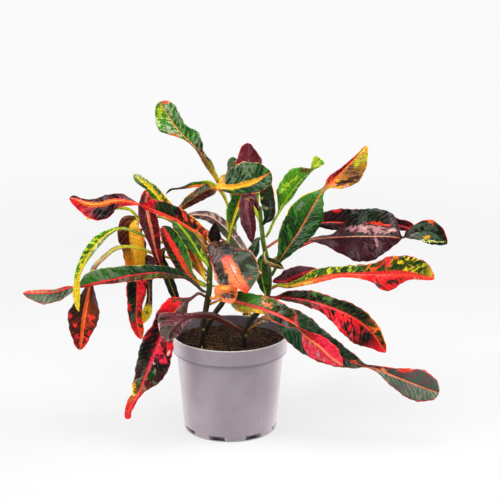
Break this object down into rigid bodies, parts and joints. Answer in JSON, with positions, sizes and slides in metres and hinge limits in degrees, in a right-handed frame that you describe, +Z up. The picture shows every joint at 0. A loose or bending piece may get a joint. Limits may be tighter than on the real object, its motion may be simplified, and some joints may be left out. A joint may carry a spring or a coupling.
{
  "type": "potted_croton",
  "caption": "Croton shrub with long twisted leaves in green, yellow, red and maroon, growing from peat in a round plastic nursery pot.",
  "frame": {"origin": "Middle of the pot's underside, on the surface that the pot stands on.", "axes": "+Z up. +X to the right and -Y towards the viewer, as the picture shows the plant."},
  "size_m": [0.4277, 0.2717, 0.3398],
  "materials": {
    "pot_plastic": "matte",
    "soil": "matte",
    "bark": "matte",
    "leaf_green": "satin",
    "leaf_dark": "satin",
    "leaf_gold": "satin",
    "leaf_red": "satin",
    "leaf_maroon": "satin"
  },
  "bodies": {
    "root": {"pot": "pot_plastic", "soil": "soil", "stem_a": "bark", "stem_b": "bark", "stem_c": "bark", "leaf_top_spoon": "leaf_green", "leaf_top_thread": "leaf_gold", "leaf_top_maroon": "leaf_maroon", "leaf_top_small": "leaf_green", "leaf_crown_wide": "leaf_green", "leaf_crown_green": "leaf_green", "leaf_crown_curled": "leaf_dark", "leaf_crown_purple": "leaf_maroon", "leaf_left_upper": "leaf_green", "leaf_left_long": "leaf_red", "leaf_left_hanging": "leaf_red", "leaf_left_gold": "leaf_gold", "leaf_left_level": "leaf_green", "leaf_left_arch": "leaf_green", "leaf_left_drop": "leaf_maroon", "leaf_left_slim": "leaf_dark", "leaf_left_short": "leaf_gold", "leaf_left_yellow": "leaf_gold", "leaf_mid_band": "leaf_red", "leaf_mid_green": "leaf_green", "leaf_mid_hidden": "leaf_red", "leaf_mid_pale": "leaf_maroon", "leaf_mid_black": "leaf_dark", "leaf_front_wide": "leaf_dark", "leaf_front_curl": "leaf_gold", "leaf_front_pink": "leaf_red", "leaf_front_long": "leaf_green", "leaf_front_left": "leaf_red", "leaf_front_arch": "leaf_maroon", "leaf_right_young": "leaf_green", "leaf_right_tall": "leaf_green", "leaf_right_behind": "leaf_red", "leaf_right_purple": "leaf_maroon", "leaf_right_level": "leaf_gold", "leaf_right_short": "leaf_red", "leaf_right_red": "leaf_red", "leaf_b_dark": "leaf_dark", "leaf_b_short": "leaf_dark", "leaf_b_low": "leaf_dark", "leaf_soil_small": "leaf_dark", "leaf_far_tall": "leaf_green", "leaf_far_right": "leaf_red", "leaf_far_middle": "leaf_green", "leaf_far_red": "leaf_red", "leaf_far_drooping": "leaf_green", "leaf_far_left": "leaf_green", "leaf_far_upper": "leaf_maroon", "leaf_far_crown": "leaf_green", "leaf_far_level": "leaf_gold", "leaf_far_band": "leaf_red"}
  },
  "joints": []
}
